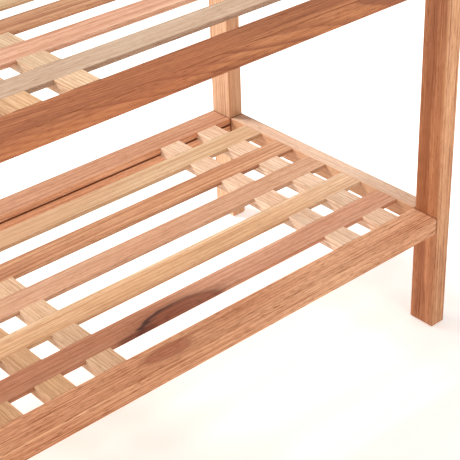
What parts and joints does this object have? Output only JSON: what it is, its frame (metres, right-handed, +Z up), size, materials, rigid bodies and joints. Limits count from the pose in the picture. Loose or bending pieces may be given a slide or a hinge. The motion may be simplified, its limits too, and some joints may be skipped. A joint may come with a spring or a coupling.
{
  "type": "entryway bench",
  "caption": "Two-tier slatted walnut bench: a flat lattice seat on slim rectangular legs above an open lattice shoe shelf.",
  "frame": {"origin": "on the floor, under the middle of the bench", "axes": "+X along the bench to the right, +Y from front to back, +Z up"},
  "size_m": [1.02, 0.39, 0.45],
  "materials": {
    "walnut_legs": "oiled walnut, satin, long straight grain along the leg",
    "walnut_rails": "oiled walnut, satin, fine dark pores along the rail",
    "walnut_slats": "oiled walnut and sapwood boards that differ in colour, satin",
    "walnut_bars": "oiled pale walnut, satin, fine grain across the bench",
    "beech_dowels": "plain beech dowel",
    "zinc_steel": "bright zinc-plated steel",
    "brass_screws": "plain brass, slightly dull"
  },
  "bodies": {
    "root": {"leg_front_left": "walnut_legs", "leg_rear_left": "walnut_legs", "leg_front_right": "walnut_legs", "leg_rear_right": "walnut_legs", "shelf_rail_front": "walnut_rails", "shelf_rail_rear": "walnut_rails", "shelf_rail_left": "walnut_rails", "shelf_rail_right": "walnut_rails", "shelf_slat_1": "walnut_slats", "shelf_slat_2": "walnut_slats", "shelf_slat_3": "walnut_slats", "shelf_slat_4": "walnut_slats", "shelf_slat_5": "walnut_slats", "shelf_bar_1": "walnut_bars", "shelf_bar_2": "walnut_bars", "shelf_bar_3": "walnut_bars", "shelf_bar_4": "walnut_bars", "shelf_bar_5": "walnut_bars", "shelf_bar_6": "walnut_bars", "shelf_bar_7": "walnut_bars", "shelf_bolts": "zinc_steel", "shelf_barrel_nuts": "zinc_steel", "shelf_rail_dowels": "beech_dowels", "shelf_side_dowels": "beech_dowels", "shelf_screws": "brass_screws", "seat_rail_front": "walnut_rails", "seat_rail_rear": "walnut_rails", "seat_rail_left": "walnut_rails", "seat_rail_right": "walnut_rails", "seat_slat_1": "walnut_slats", "seat_slat_2": "walnut_slats", "seat_slat_3": "walnut_slats", "seat_slat_4": "walnut_slats", "seat_slat_5": "walnut_slats", "seat_bar_1": "walnut_bars", "seat_bar_2": "walnut_bars", "seat_bar_3": "walnut_bars", "seat_bar_4": "walnut_bars", "seat_bar_5": "walnut_bars", "seat_bar_6": "walnut_bars", "seat_bar_7": "walnut_bars", "seat_bolts": "zinc_steel", "seat_barrel_nuts": "zinc_steel", "seat_rail_dowels": "beech_dowels", "seat_side_dowels": "beech_dowels", "seat_screws": "brass_screws"}
  },
  "joints": []
}
